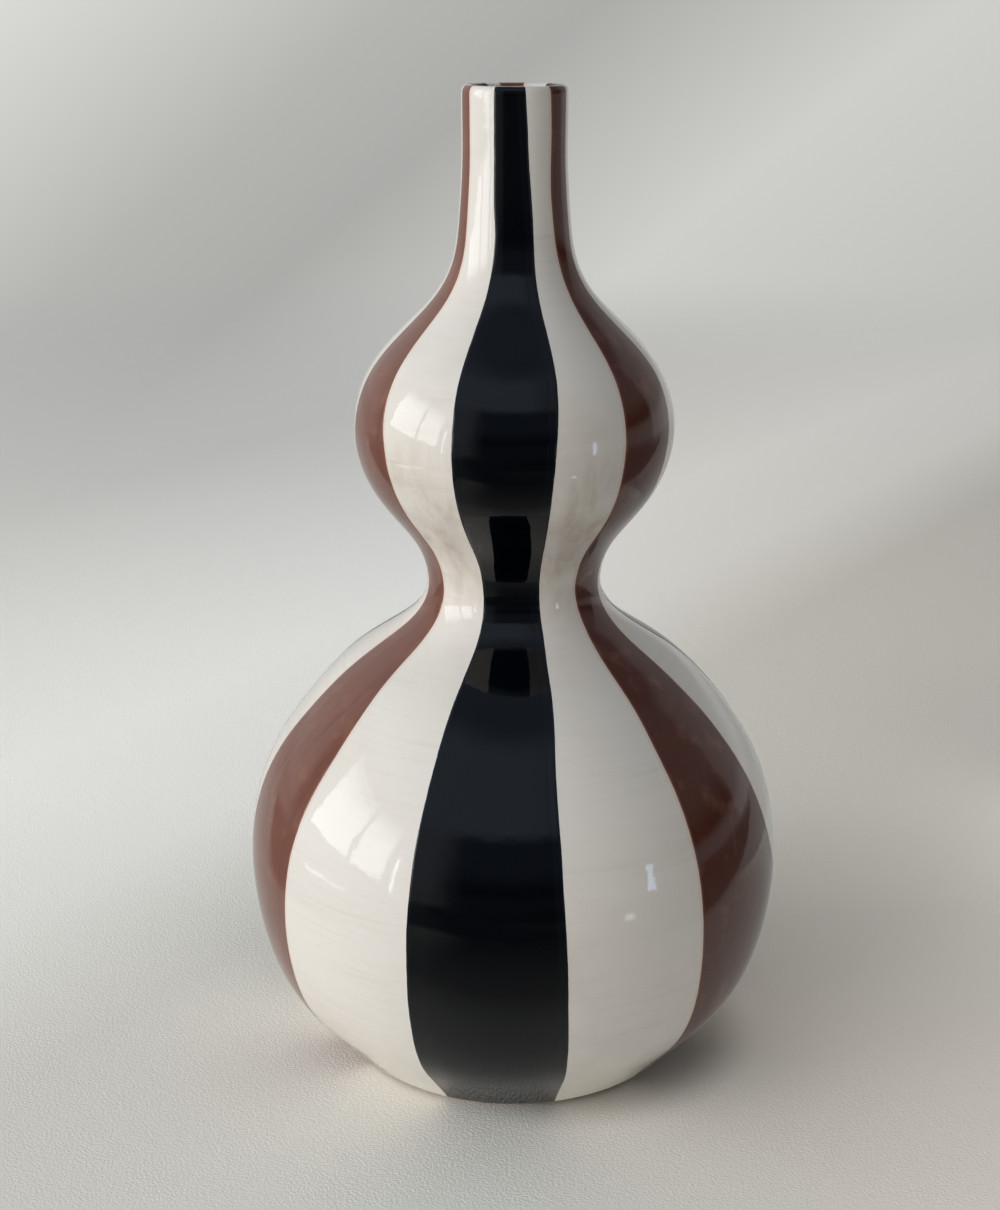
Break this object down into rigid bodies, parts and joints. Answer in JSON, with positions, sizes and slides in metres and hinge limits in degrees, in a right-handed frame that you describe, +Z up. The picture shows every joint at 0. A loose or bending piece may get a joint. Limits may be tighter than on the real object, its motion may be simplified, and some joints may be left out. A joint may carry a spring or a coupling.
{
  "type": "gourd vase",
  "caption": "Double gourd vase with a slender straight neck, in glazed stoneware with upright black, brown and cream stripes, for a few stems or for display.",
  "frame": {"origin": "centre of the foot ring, on the table", "axes": "+Z up along the vase's axis; the front, with a black stripe nearly in the middle, faces -Y"},
  "size_m": [0.134, 0.134, 0.24],
  "materials": {
    "clay_body": "unglazed stoneware, matt",
    "luting_slip": "fired slip, matt",
    "liner_glaze": "clear gloss over cream",
    "black_glaze": "high gloss",
    "brown_glaze": "high gloss",
    "cream_glaze": "high gloss, faint brush lines and crazing"
  },
  "bodies": {
    "root": {"lower_bulb": "clay_body", "upper_bulb": "clay_body", "neck": "clay_body", "waist_luting_seam": "luting_slip", "neck_luting_seam": "luting_slip", "inner_glaze": "liner_glaze", "underside_glaze": "liner_glaze", "black_stripe_1": "black_glaze", "cream_stripe_1": "cream_glaze", "brown_stripe_1": "brown_glaze", "cream_stripe_2": "cream_glaze", "black_stripe_2": "black_glaze", "cream_stripe_3": "cream_glaze", "brown_stripe_2": "brown_glaze", "cream_stripe_4": "cream_glaze", "black_stripe_3": "black_glaze", "cream_stripe_5": "cream_glaze", "brown_stripe_3": "brown_glaze", "cream_stripe_6": "cream_glaze"}
  },
  "joints": []
}
